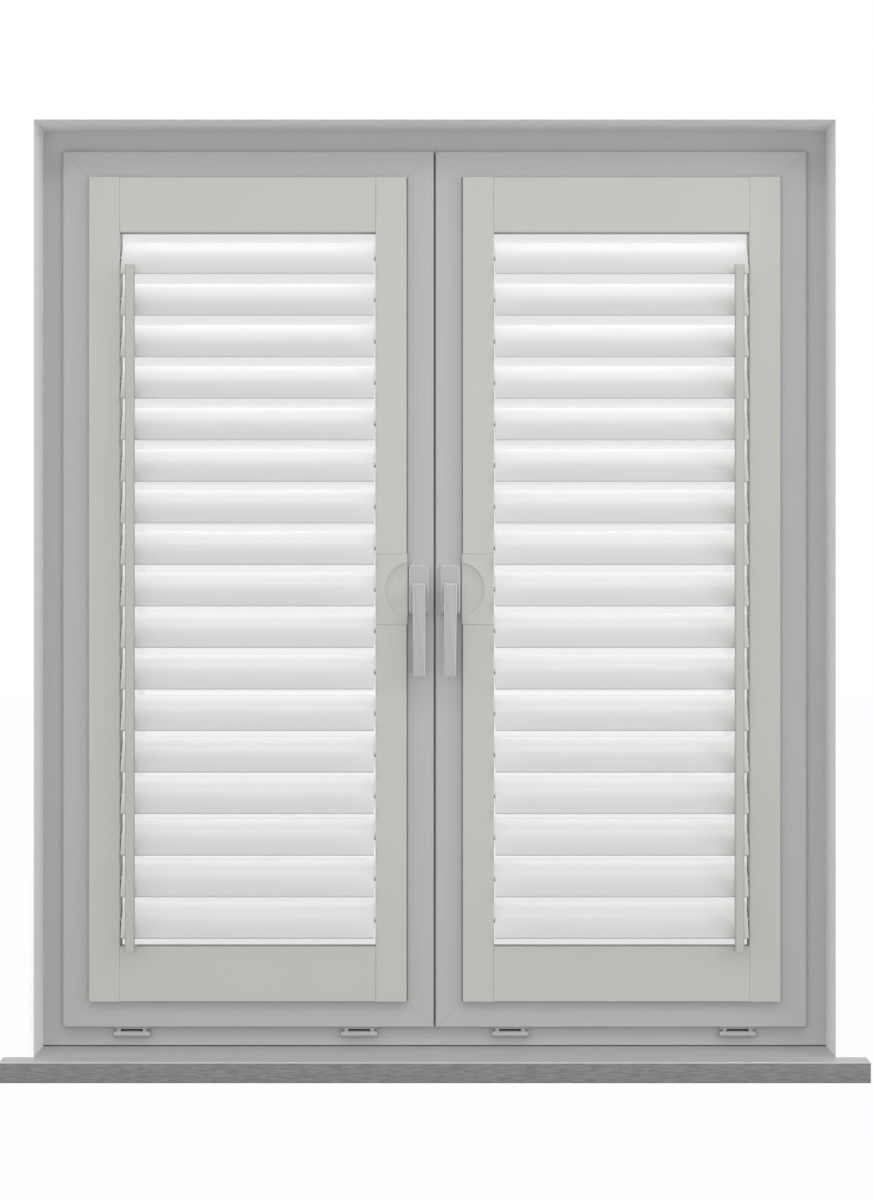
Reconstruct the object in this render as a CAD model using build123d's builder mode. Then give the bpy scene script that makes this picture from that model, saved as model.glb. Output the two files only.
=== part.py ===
from build123d import *
import os
from math import cos, radians, sin

# A window with two shuttered sashes, seen from the room. Millimetres, +X to the viewer's right,
# +Y towards the outside and +Z up. The origin is the middle of the frame's underside.

os.makedirs("parts", exist_ok=True)

# Louvres
louvre_count = 17
louvre_width = 63.5
louvre_thickness = 11.0
louvre_edge_thickness = 3.2
louvre_edge_bevel = 1.0
louvre_pitch = 57.15
louvre_end_gap = 2.0
louvre_rest_tilt = 46.7
pivot_forward = 1.5
pin_radius = 3.0
pin_flats = 3.8
pin_reach = 10.0
pin_clearance = 0.3
bore_sides = 8

# Tilt linkage between the louvres' room edges and the tilt rod
eye_offset = 3.6
eye_bar_radius = 0.8
eye_bar_sides = 6
eye_leg_height = 3.2
eye_leg_thickness = 1.6
eye_leg_bevel = 0.9
eye_bar_span = 4.4
rod_width = 12.7
rod_thickness = 10.0
rod_overrun = 14.0
rod_edge_bevel = 1.5
rod_back_gap = 4.5
rod_stile_gap = 9.4
tab_thickness = 3.2
tab_radius = 2.1
tab_height = 3.6

# Shutter panels
panel_opening_width = 352.5
panel_end_space = 6.5
panel_stile_width = 43.0
panel_rail_width = 76.2
panel_thickness = 27.0
panel_edge_radius = 1.2
panel_fit_gap = 0.5

# Finger recess let into each inner stile
finger_block_height = 98.0
finger_block_thickness = 9.0
finger_scoop_radius = 38.6
finger_scoop_depth = 7.0
finger_scoop_offset = 8.0
finger_scoop_slope = 4.0
finger_block_lip = 1.0

# Sashes
sash_margin = 37.5
sash_seat_width = 39.5
sash_proud = 18.0
sash_seal_gap = 2.0
sash_flange_reach = 20.0
sash_seat_depth = 14.0
sash_edge_radius = 2.5
sash_seat_radius = 1.0
sash_bead_slope = 6.0
meeting_gap = 2.0
glass_thickness = 24.0
glass_face_depth = 39.0
glass_edge_cover = 12.0
glass_groove_depth = 15.0

# Outer frame
frame_depth = 70.0
frame_side_sight = 28.8
frame_head_sight = 30.6
frame_base_sight = 28.0
frame_lap = 8.0
frame_lip_thickness = 15.0
frame_lip_reach = 20.0
frame_edge_radius = 2.0
post_edge_bevel = 3.0
anchor_hole_radius = 5.0
anchor_inset = 150.0

# Reveal lining and window board
lining_thickness = 4.4
lining_depth = 107.0
board_thickness = 28.0
board_nosing = 49.0
board_horn = 35.0
board_edge_radius = 3.0

# Sash hinges
hinge_near_inset = 103.5
hinge_far_inset = 95.0
hinge_length = 51.0
hinge_barrel_radius = 4.6
hinge_barrel_drop = 10.0
hinge_neck_spacing = 36.0
hinge_neck_width = 6.0
hinge_neck_depth = 6.4
hinge_leaf_thickness = 3.0
hinge_leaf_inset = 3.0

# Handles
rosette_width = 27.5
rosette_height = 68.0
rosette_thickness = 11.0
rosette_edge_radius = 4.0
rosette_bevel = 1.2
handle_inset = 20.7
spindle_radius = 7.0
spindle_clearance = 0.3
spindle_end_gap = 1.0
grip_stand_off = 27.0
grip_thickness = 13.0
grip_top_width = 17.5
grip_foot_width = 15.8
grip_above_spindle = 8.0
grip_below_spindle = 119.0
grip_edge = 1.6

# Worked out across the window, from the meeting line outwards
panel_width = panel_opening_width + 2 * panel_stile_width
sash_width = panel_width + 2 * sash_margin
sash_profile_width = sash_margin + sash_seat_width
sash_edge_x = meeting_gap / 2
sash_far_x = sash_edge_x + sash_width
sash_mid_x = sash_edge_x + sash_width / 2
panel_inner_x = sash_edge_x + sash_margin
panel_outer_x = panel_inner_x + panel_width
panel_mid_x = (panel_inner_x + panel_outer_x) / 2
louvre_length = panel_opening_width - 2 * louvre_end_gap
frame_width = frame_lap + frame_head_sight + lining_thickness
frame_inner_x = sash_far_x - frame_lap
frame_outer_x = frame_inner_x + frame_width
lining_inner_x = sash_far_x + frame_side_sight
post_half_width = frame_lap + sash_edge_x
handle_x = sash_edge_x + handle_inset
rod_x = panel_outer_x - panel_stile_width - rod_stile_gap - rod_width / 2

# Worked out upwards, from the frame's underside
opening_height = louvre_count * louvre_pitch + 2 * panel_end_space
panel_height = opening_height + 2 * panel_rail_width
sash_height = panel_height + 2 * sash_margin
sash_foot_z = board_thickness + frame_base_sight
sash_top_z = sash_foot_z + sash_height
mid_z = (sash_foot_z + sash_top_z) / 2
frame_foot = sash_foot_z + frame_lap - frame_width
frame_inner_foot_z = sash_foot_z + frame_lap
frame_inner_top_z = sash_top_z - frame_lap
frame_top_z = frame_inner_top_z + frame_width
lining_under_z = sash_top_z + frame_head_sight
panel_foot_z = sash_foot_z + sash_margin
first_pivot_z = mid_z - (louvre_count - 1) / 2 * louvre_pitch

# Worked out through the window, from the room outwards
frame_face_y = -frame_depth / 2
frame_back_y = frame_depth / 2
sash_face_y = frame_face_y - sash_proud
frame_lip_y = frame_back_y - frame_lip_thickness
sash_back_y = frame_lip_y - sash_seal_gap
panel_back_y = sash_face_y + sash_seat_depth
panel_face_y = panel_back_y - panel_thickness
panel_mid_y = panel_back_y - panel_thickness / 2
pivot_y = panel_mid_y - pivot_forward
glass_face_y = sash_face_y + glass_face_depth
reveal_front_y = frame_face_y - lining_depth
grip_back_y = sash_face_y - rosette_thickness - grip_stand_off
eye_radius = louvre_width / 2 + eye_offset
eye_y = pivot_y - eye_radius * cos(radians(louvre_rest_tilt))
eye_drop = eye_radius * sin(radians(louvre_rest_tilt))

sides = {"left": -1, "right": 1}


# Planes across the mitred members: X points into the opening and Z runs along the member.


def jamb_plane(x, inward, z):
    """Plane of an upright whose outer edge stands at x."""
    return Plane(origin=(x, 0, z), x_dir=(inward, 0, 0), z_dir=(0, 0, inward))


def cross_plane(x, upward, z):
    """Plane of a level member whose outer edge lies at z."""
    return Plane(origin=(x, 0, z), x_dir=(0, 0, upward), z_dir=(-upward, 0, 0))


def mitred_member(outline, rounded, plane, run, foot=0.0):
    """One member of the given outline, its ends mitred from `foot` above its outer edge."""
    with BuildPart() as member:
        with BuildSketch(plane) as section:
            with BuildLine():
                Polyline(*outline, close=True)
            make_face()
            for corner, radius in rounded:
                fillet(section.vertices().sort_by_distance(Vector(*corner))[0], radius)
        extrude(amount=run / 2, both=True)
        for end in (-1, 1):
            corner = plane.origin + plane.x_dir * foot + plane.z_dir * (end * run / 2)
            split(bisect_by=Plane(corner, z_dir=plane.x_dir + plane.z_dir * end), keep=Keep.BOTTOM)
    return member.part


def frame_outline(foot=0.0):
    """Section of the outer frame, with the lip that the sash closes against."""
    inner = foot + frame_width
    lip = inner + frame_lip_reach
    return [
        (0, frame_face_y),
        (inner, frame_face_y),
        (inner, frame_lip_y),
        (lip, frame_lip_y),
        (lip, frame_back_y),
        (0, frame_back_y),
    ]


def sash_outline():
    """Section of a sash, with its flange, the panel's seat and the groove that holds the glass."""
    seat = sash_margin - panel_fit_gap
    groove = sash_profile_width - glass_groove_depth
    return [
        (0, sash_face_y),
        (0, frame_face_y),
        (sash_flange_reach, frame_face_y),
        (sash_flange_reach, sash_back_y),
        (sash_profile_width - sash_bead_slope, sash_back_y),
        (sash_profile_width, glass_face_y + glass_thickness),
        (groove, glass_face_y + glass_thickness),
        (groove, glass_face_y),
        (sash_profile_width, glass_face_y),
        (sash_profile_width, panel_back_y),
        (seat, panel_back_y),
        (seat, sash_face_y),
    ]


def frame_member(plane, run, foot=0.0):
    """One member of the outer frame, rounded along its room edge and its lip."""
    inner = foot + frame_width
    rounded = [
        ((inner, frame_face_y), frame_edge_radius),
        ((inner + frame_lip_reach, frame_back_y), frame_edge_radius),
    ]
    return mitred_member(frame_outline(foot), rounded, plane, run, foot)


def sash_member(plane, run):
    """One member of a sash, rounded along its face."""
    rounded = [
        ((0, sash_face_y), sash_edge_radius),
        ((sash_margin - panel_fit_gap, sash_face_y), sash_seat_radius),
    ]
    return mitred_member(sash_outline(), rounded, plane, run)


def frame_pieces():
    """Head, base and the two jambs of the outer frame."""
    upright = frame_top_z - frame_foot
    upright_z = (frame_top_z + frame_foot) / 2
    head = frame_member(cross_plane(0, -1, frame_top_z), 2 * frame_outer_x)
    base = frame_member(cross_plane(0, 1, 0), 2 * frame_outer_x, frame_foot)
    with BuildPart() as jambs:
        for side in sides.values():
            add(frame_member(jamb_plane(side * frame_outer_x, -side, upright_z), upright))
        with Locations(Plane.YZ.offset(-frame_outer_x)):
            with Locations((0, anchor_inset), (0, frame_top_z - anchor_inset)):
                Hole(anchor_hole_radius)
    write(head, "frame_head")
    write(base, "frame_base")
    write(jambs.part, "frame_jambs")


def meeting_post():
    """Slim upright between the sashes, with an outside cover that laps both."""
    core_height = frame_inner_top_z - frame_inner_foot_z
    cover_half = post_half_width + frame_lip_reach
    with BuildPart() as post:
        with BuildSketch(Plane.XY.offset(frame_inner_foot_z)):
            with Locations((0, (frame_face_y + frame_lip_y) / 2)):
                Rectangle(2 * post_half_width, frame_lip_y - frame_face_y)
        extrude(amount=core_height)
        with BuildSketch(Plane.XY.offset(frame_inner_foot_z + frame_lip_reach)):
            with Locations((0, (frame_lip_y + frame_back_y) / 2)):
                Rectangle(2 * cover_half, frame_lip_thickness)
        extrude(amount=core_height - 2 * frame_lip_reach)
        chamfer(post.edges().filter_by(Axis.Z).group_by(Axis.Y)[-1], post_edge_bevel)
    write(post.part, "meeting_post")


def sash_pieces(name, side):
    """Stiles and rails of one sash."""
    with BuildPart() as stiles:
        add(sash_member(jamb_plane(side * sash_edge_x, side, mid_z), sash_height))
        add(sash_member(jamb_plane(side * sash_far_x, -side, mid_z), sash_height))
    with BuildPart() as rails:
        add(sash_member(cross_plane(side * sash_mid_x, 1, sash_foot_z), sash_width))
        add(sash_member(cross_plane(side * sash_mid_x, -1, sash_top_z), sash_width))
    write(stiles.part, f"{name}_sash_stiles")
    write(rails.part, f"{name}_sash_rails")


def glass_units():
    """The two sealed glass units, held in the sashes' grooves."""
    edge = sash_profile_width - glass_edge_cover
    with BuildPart() as units:
        with BuildSketch(Plane.XZ.offset(-glass_face_y)):
            for side in sides.values():
                with Locations((side * sash_mid_x, mid_z)):
                    Rectangle(sash_width - 2 * edge, sash_height - 2 * edge)
        extrude(amount=-glass_thickness)
    write(units.part, "glass_units")


def lining_pieces():
    """Thin boards that line the reveal in front of the frame."""
    with BuildPart() as head:
        with BuildSketch(Plane.XY.offset(lining_under_z)):
            with Locations((0, frame_face_y - lining_depth / 2)):
                Rectangle(2 * frame_outer_x, lining_depth)
        extrude(amount=frame_top_z - lining_under_z)
    with BuildPart() as cheeks:
        with BuildSketch(Plane.XY.offset(board_thickness)):
            for side in sides.values():
                with Locations((side * (lining_inner_x + frame_outer_x) / 2, frame_face_y - lining_depth / 2)):
                    Rectangle(frame_outer_x - lining_inner_x, lining_depth)
        extrude(amount=lining_under_z - board_thickness)
    write(head.part, "lining_head")
    write(cheeks.part, "lining_sides")


def window_board():
    """Inside window board, with a nosing that runs past the reveal as horns."""
    with BuildPart() as board:
        with BuildSketch():
            with Locations((0, frame_face_y - lining_depth / 2)):
                Rectangle(2 * frame_outer_x, lining_depth)
            with Locations((0, reveal_front_y - board_nosing / 2)):
                Rectangle(2 * (frame_outer_x + board_horn), board_nosing)
        extrude(amount=board_thickness)
        fillet(board.edges().filter_by(Axis.X).group_by(Axis.Y)[0], board_edge_radius)
    write(board.part, "window_board")


def pivot_heights():
    """Height of each louvre's pivot, from the foot up."""
    return [first_pivot_z + row * louvre_pitch for row in range(louvre_count)]


def panel_stile(name, side, place):
    """One upright of a shutter panel, bored for the louvres' pins."""
    inner = place == "inner"
    edge_x = panel_inner_x if inner else panel_outer_x
    bored_x = edge_x + panel_stile_width * (1 if inner else -1)
    mouth = side * (1 if inner else -1)
    bore_plane = Plane(origin=(side * bored_x, pivot_y, mid_z), x_dir=(0, 1, 0), z_dir=(mouth, 0, 0))
    with BuildPart() as stile:
        with BuildSketch(Plane.XY.offset(panel_foot_z)):
            with Locations((side * (edge_x + bored_x) / 2, panel_mid_y)):
                Rectangle(panel_stile_width, panel_thickness)
        extrude(amount=panel_height)
        fillet(stile.edges().filter_by(Axis.Z).group_by(Axis.Y)[0], panel_edge_radius)
        if inner:
            with BuildSketch(Plane.XZ.offset(-panel_face_y)):
                with Locations((side * (edge_x + bored_x) / 2, mid_z)):
                    Rectangle(panel_stile_width, finger_block_height)
            extrude(amount=-finger_block_thickness, mode=Mode.SUBTRACT)
        with BuildSketch(bore_plane):
            with GridLocations(0, louvre_pitch, 1, louvre_count):
                RegularPolygon(pin_radius + pin_clearance, bore_sides, major_radius=False)
        extrude(amount=-(pin_reach + louvre_end_gap), mode=Mode.SUBTRACT)
    write(stile.part, f"{name}_shutter_{place}_stile")


def panel_rails(name, side):
    """Top and bottom rails of one shutter panel."""
    rail_spacing = opening_height + panel_rail_width
    with BuildPart() as rails:
        with BuildSketch(Plane.YZ.offset(side * panel_mid_x)):
            with Locations((panel_mid_y, mid_z)):
                with GridLocations(0, rail_spacing, 1, 2):
                    Rectangle(panel_thickness, panel_rail_width)
        extrude(amount=panel_opening_width / 2, both=True)
        fillet(rails.edges().filter_by(Axis.X).group_by(Axis.Y)[0], panel_edge_radius)
    write(rails.part, f"{name}_shutter_rails")


def finger_blocks():
    """Dished inserts in the inner stiles that leave room for the fingers behind the handles."""
    block_width = panel_stile_width + finger_block_lip
    floor_radius = finger_scoop_radius - finger_scoop_slope
    with BuildPart() as blocks:
        with BuildSketch(Plane.XZ.offset(-panel_face_y)):
            for side in sides.values():
                with Locations((side * (panel_inner_x - finger_block_lip + block_width / 2), mid_z)):
                    Rectangle(block_width, finger_block_height)
        extrude(amount=-finger_block_thickness)
        for side in sides.values():
            scoop_x = side * (panel_inner_x - finger_scoop_offset)
            with BuildSketch(Plane(origin=(scoop_x, panel_face_y, mid_z), z_dir=(0, 0, 1))):
                with BuildLine():
                    Polyline(
                        (0, 0),
                        (finger_scoop_radius, 0),
                        (floor_radius, finger_scoop_depth),
                        (0, finger_scoop_depth),
                        close=True,
                    )
                make_face()
            revolve(axis=Axis((scoop_x, 0, mid_z), (0, 1, 0)), mode=Mode.SUBTRACT)
    write(blocks.part, "finger_blocks")


def tilted_plane(x, z):
    """Plane across a louvre at rest: X along the blade towards the outside, Z along the pivot."""
    tilt = radians(louvre_rest_tilt)
    return Plane(origin=(x, pivot_y, z), x_dir=(0, cos(tilt), sin(tilt)), z_dir=(1, 0, 0))


def louvre(name, side, row, pivot_z):
    """One louvre: a lens-section blade with eased edges, flatted end pins and the rod's eye."""
    tilted = tilted_plane(side * panel_mid_x, pivot_z)
    half, bevel = louvre_width / 2, louvre_edge_bevel
    flank = half - bevel
    edge, crown = louvre_edge_thickness / 2, louvre_thickness / 2
    pin_end = louvre_length / 2 + louvre_end_gap + pin_reach
    eye_middle = side * (rod_x - panel_mid_x)
    leg_length = eye_offset + eye_bar_radius + eye_leg_bevel + bevel
    leg_middle = flank + leg_length / 2
    with BuildPart() as blade:
        with BuildSketch(tilted):
            with BuildLine():
                ThreePointArc((-flank, edge), (0, crown), (flank, edge))
                Polyline((flank, edge), (half, edge - bevel), (half, bevel - edge), (flank, -edge))
                ThreePointArc((flank, -edge), (0, -crown), (-flank, -edge))
                Polyline((-flank, -edge), (-half, bevel - edge), (-half, edge - bevel), (-flank, edge))
            make_face()
        extrude(amount=louvre_length / 2, both=True)
        with BuildSketch(tilted):
            Circle(pin_radius)
            Rectangle(2 * pin_radius, pin_flats, mode=Mode.INTERSECT)
        extrude(amount=pin_end, both=True)
        for leg in (-1, 1):
            with BuildSketch(tilted.offset(eye_middle + leg * (eye_bar_span + eye_leg_thickness) / 2)) as leg_side:
                with Locations((-leg_middle, 0)):
                    Rectangle(leg_length, eye_leg_height)
                chamfer(leg_side.vertices().group_by(Axis.X)[0], eye_leg_bevel)
            extrude(amount=eye_leg_thickness / 2, both=True)
        with BuildSketch(tilted.offset(eye_middle)):
            with Locations((-eye_radius, 0)):
                RegularPolygon(eye_bar_radius, eye_bar_sides)
        extrude(amount=eye_bar_span / 2, both=True)
    write(blade.part, f"{name}_louvre_{row + 1:02d}")


def tilt_rod(name, side):
    """Rod that links one panel's louvres, with a bored tab on each eye's bar."""
    x = side * rod_x
    rod_back_y = eye_y - rod_back_gap
    middle_z = mid_z - eye_drop
    rod_length = (louvre_count - 1) * louvre_pitch + 2 * rod_overrun
    tab_plane = Plane(origin=(x, eye_y, middle_z), x_dir=(0, 1, 0), z_dir=(1, 0, 0))
    with BuildSketch() as tab:
        Circle(tab_radius)
        with Locations((-rod_back_gap / 2, 0)):
            Rectangle(rod_back_gap, 2 * tab_radius)
        with Locations((-(rod_back_gap - tab_radius) / 2, 0)):
            Rectangle(rod_back_gap + tab_radius, tab_height, mode=Mode.INTERSECT)
        RegularPolygon(eye_bar_radius + pin_clearance, eye_bar_sides, major_radius=False, mode=Mode.SUBTRACT)
    with BuildPart() as rod:
        with BuildSketch(Plane.XY.offset(middle_z - rod_length / 2)):
            with Locations((x, rod_back_y - rod_thickness / 2)):
                Rectangle(rod_width, rod_thickness)
        extrude(amount=rod_length)
        chamfer(rod.edges().filter_by(Axis.Z).group_by(Axis.Y)[0], rod_edge_bevel)
        with BuildSketch(tab_plane):
            with GridLocations(0, louvre_pitch, 1, louvre_count):
                add(tab.sketch)
        extrude(amount=tab_thickness / 2, both=True)
    write(rod.part, f"{name}_tilt_rod")


def sash_hinges():
    """Four barrel hinges under the sashes, each with a leaf on the frame's base and two necks."""
    barrel_z = sash_foot_z - hinge_barrel_drop
    barrel_y = frame_face_y - hinge_leaf_thickness - hinge_barrel_radius
    leaf_depth = frame_face_y - barrel_y
    middles = [sash_edge_x + hinge_near_inset, sash_far_x - hinge_far_inset]
    spots = [side * middle for side in sides.values() for middle in middles]
    with BuildPart() as hinges:
        for x in spots:
            with BuildSketch(Plane.YZ.offset(x)):
                with Locations((barrel_y, barrel_z)):
                    Circle(hinge_barrel_radius)
            extrude(amount=hinge_length / 2, both=True)
        for x in spots:
            with BuildSketch(Plane.YZ.offset(x)):
                with Locations((barrel_y + leaf_depth / 2, barrel_z)):
                    Rectangle(leaf_depth, hinge_barrel_radius)
            extrude(amount=hinge_length / 2 - hinge_leaf_inset, both=True)
            with BuildSketch(Plane.XY.offset(barrel_z)):
                with Locations((x, barrel_y)):
                    with GridLocations(hinge_neck_spacing, 0, 2, 1):
                        Rectangle(hinge_neck_width, hinge_neck_depth)
            extrude(amount=hinge_barrel_drop)
    write(hinges.part, "sash_hinges")


def handle_rosettes():
    """Backplates of the two handles, bored for the spindles."""
    with BuildPart() as rosettes:
        with BuildSketch(Plane.XZ.offset(-sash_face_y)):
            for side in sides.values():
                with Locations((side * handle_x, mid_z)):
                    Rectangle(rosette_width, rosette_height)
        extrude(amount=rosette_thickness)
        fillet(rosettes.edges().filter_by(Axis.Y), rosette_edge_radius)
        chamfer(rosettes.faces().filter_by(Axis.Y).group_by(Axis.Y)[0].edges(), rosette_bevel)
        with BuildSketch(Plane.XZ.offset(-sash_face_y)):
            with Locations(*[(side * handle_x, mid_z) for side in sides.values()]):
                Circle(spindle_radius + spindle_clearance)
        extrude(amount=rosette_thickness, mode=Mode.SUBTRACT)
    write(rosettes.part, "handle_rosettes")


def handle(name, side):
    """Turning handle: a round neck in the rosette and a tapered grip that hangs from it."""
    x = side * handle_x
    outer_foot = grip_top_width / 2 - (grip_top_width - grip_foot_width)
    with BuildPart() as lever:
        with BuildSketch(Plane.XZ.offset(-grip_back_y)):
            with BuildLine():
                Polyline(
                    (x - side * grip_top_width / 2, mid_z + grip_above_spindle),
                    (x + side * grip_top_width / 2, mid_z + grip_above_spindle),
                    (x + side * outer_foot, mid_z - grip_below_spindle),
                    (x - side * grip_top_width / 2, mid_z - grip_below_spindle),
                    close=True,
                )
            make_face()
        extrude(amount=grip_thickness)
        chamfer(lever.faces().sort_by(Axis.Y)[0].edges(), grip_edge)
        with BuildSketch(Plane.XZ.offset(-(sash_face_y - spindle_end_gap))):
            with Locations((x, mid_z)):
                Circle(spindle_radius)
        extrude(amount=sash_face_y - spindle_end_gap - grip_back_y)
    write(lever.part, f"{name}_handle")


def write(part, name):
    """Labels one finished piece and writes it under its own name."""
    part.label = name
    export_step(part, f"parts/{name}.step")


frame_pieces()
meeting_post()
glass_units()
lining_pieces()
window_board()
finger_blocks()
sash_hinges()
handle_rosettes()
for side_name, side_sign in sides.items():
    sash_pieces(side_name, side_sign)
    panel_stile(side_name, side_sign, "outer")
    panel_stile(side_name, side_sign, "inner")
    panel_rails(side_name, side_sign)
    for row_index, height in enumerate(pivot_heights()):
        louvre(side_name, side_sign, row_index, height)
    tilt_rod(side_name, side_sign)
    handle(side_name, side_sign)
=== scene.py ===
import logging
import math
from collections.abc import Callable, Iterator
from contextlib import contextmanager
from dataclasses import dataclass
from enum import Enum

import bpy
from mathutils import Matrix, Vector


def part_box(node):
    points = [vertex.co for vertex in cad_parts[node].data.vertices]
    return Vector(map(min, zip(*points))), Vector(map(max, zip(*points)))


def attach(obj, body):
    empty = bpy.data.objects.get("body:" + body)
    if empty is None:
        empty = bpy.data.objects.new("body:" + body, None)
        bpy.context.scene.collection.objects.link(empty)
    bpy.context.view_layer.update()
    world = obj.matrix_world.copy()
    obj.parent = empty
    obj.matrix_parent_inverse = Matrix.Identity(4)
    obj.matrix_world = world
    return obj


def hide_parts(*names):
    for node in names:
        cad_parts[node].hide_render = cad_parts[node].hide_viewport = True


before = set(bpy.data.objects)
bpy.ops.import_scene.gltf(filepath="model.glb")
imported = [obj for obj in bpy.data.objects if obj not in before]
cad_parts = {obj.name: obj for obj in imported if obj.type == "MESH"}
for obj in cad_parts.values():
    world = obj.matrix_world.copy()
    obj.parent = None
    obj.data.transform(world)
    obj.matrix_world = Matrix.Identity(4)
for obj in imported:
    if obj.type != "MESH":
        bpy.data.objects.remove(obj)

# A window with two shuttered sashes: its finishes, its fine pieces, and the studio round it.
# Sizes in the classes below are millimetres; Blender and the frame are in metres.

LOG = logging.getLogger("window")
MM = 0.001
UNIT_BODY = "window"
SMOOTH_ANGLE = math.radians(35)
BALL_SIDES = 192

# How near a point lies to a face that it belongs to.
NEAR = 0.1 * MM
# How much of an edge's direction lies on an axis that it runs along, or across.
ALONG = 0.9
ACROSS = 0.1

# Noise keeps mostly between these, so they bound a grain's swing.
NOISE_LOW = 0.3
NOISE_HIGH = 0.7
# Lifts the product of grain and clouds to the middle of that range.
CLOUD_LIFT = 0.25

Material = bpy.types.Material
Socket = bpy.types.NodeSocket
Test = Callable[[Vector, Vector], bool]
Tree = bpy.types.NodeTree


class Side(Enum):
    """The two halves of the window, as seen from the room."""

    LEFT = -1
    RIGHT = 1

    @property
    def word(self) -> str:
        """The side's name as the frame's nodes and bodies write it."""
        return self.name.lower()


class Run(Enum):
    """The way a member's drawn or brushed lines follow, as its grain's stretch on each axis."""

    UPRIGHT = (1.0, 1.0, 60.0)
    LEVEL = (60.0, 1.0, 1.0)
    NONE = (1.0, 1.0, 1.0)


class Element(Enum):
    """What is picked in edit mode."""

    POINTS = "vertices"
    EDGES = "edges"
    FACES = "polygons"


# Shader nodes


def linear(colour: str) -> tuple[float, float, float, float]:
    """Turns an sRGB hex colour into the linear values that a socket takes.

    Args:
        colour: six hex digits, such as "B4B4B6".

    Returns:
        Linear red, green and blue, and an alpha of 1.
    """
    parts = [int(colour[i : i + 2], 16) / 255 for i in (0, 2, 4)]
    values = [p / 12.92 if p <= 0.04045 else ((p + 0.055) / 1.055) ** 2.4 for p in parts]
    return values[0], values[1], values[2], 1.0


def add_node(
    tree: Tree, kind: str, inputs: dict[str | int, object] | None = None, **settings: object
) -> bpy.types.Node:
    """Adds a node, with its settings, its values and its links.

    Args:
        tree: the node tree it goes in.
        kind: the node's Blender type.
        inputs: a value, or the output socket to link from, by input name or number.
        settings: attributes of the node itself.

    Returns:
        The new node.
    """
    node = tree.nodes.new(kind)
    for name, value in settings.items():
        setattr(node, name, value)
    for key, value in (inputs or {}).items():
        if isinstance(value, Socket):
            tree.links.new(value, node.inputs[key])
        else:
            node.inputs[key].default_value = value
    return node


def new_tree(owner: Material | bpy.types.World) -> Tree:
    """Turns on a material's or the world's nodes.

    Args:
        owner: the material or the world.

    Returns:
        Its node tree, emptied.
    """
    owner.use_nodes = True
    owner.node_tree.nodes.clear()
    return owner.node_tree


# Finishes


@dataclass(frozen=True)
class Grain:
    """A fine pattern: the distance between its features along each axis, in millimetres."""

    spacing: tuple[float, float, float]
    detail: float = 2.0
    waviness: float = 0.0

    def sample(self, tree: Tree) -> Socket:
        """Adds the pattern to a tree.

        Args:
            tree: the material's nodes.

        Returns:
            The pattern's output, from 0 to 1.
        """
        place = add_node(tree, "ShaderNodeTexCoord")
        scaled = add_node(
            tree,
            "ShaderNodeMapping",
            {"Vector": place.outputs["Object"], "Scale": [1 / (MM * s) for s in self.spacing]},
        )
        noise = add_node(
            tree,
            "ShaderNodeTexNoise",
            {
                "Vector": scaled.outputs[0],
                "Scale": 1.0,
                "Detail": self.detail,
                "Distortion": self.waviness,
            },
        )
        return noise.outputs["Fac"]

    def along(self, run: Run) -> "Grain":
        """Stretches the pattern the way that a member runs."""
        stretched = tuple(s * r for s, r in zip(self.spacing, run.value))
        return Grain(stretched, self.detail, self.waviness)


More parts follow.
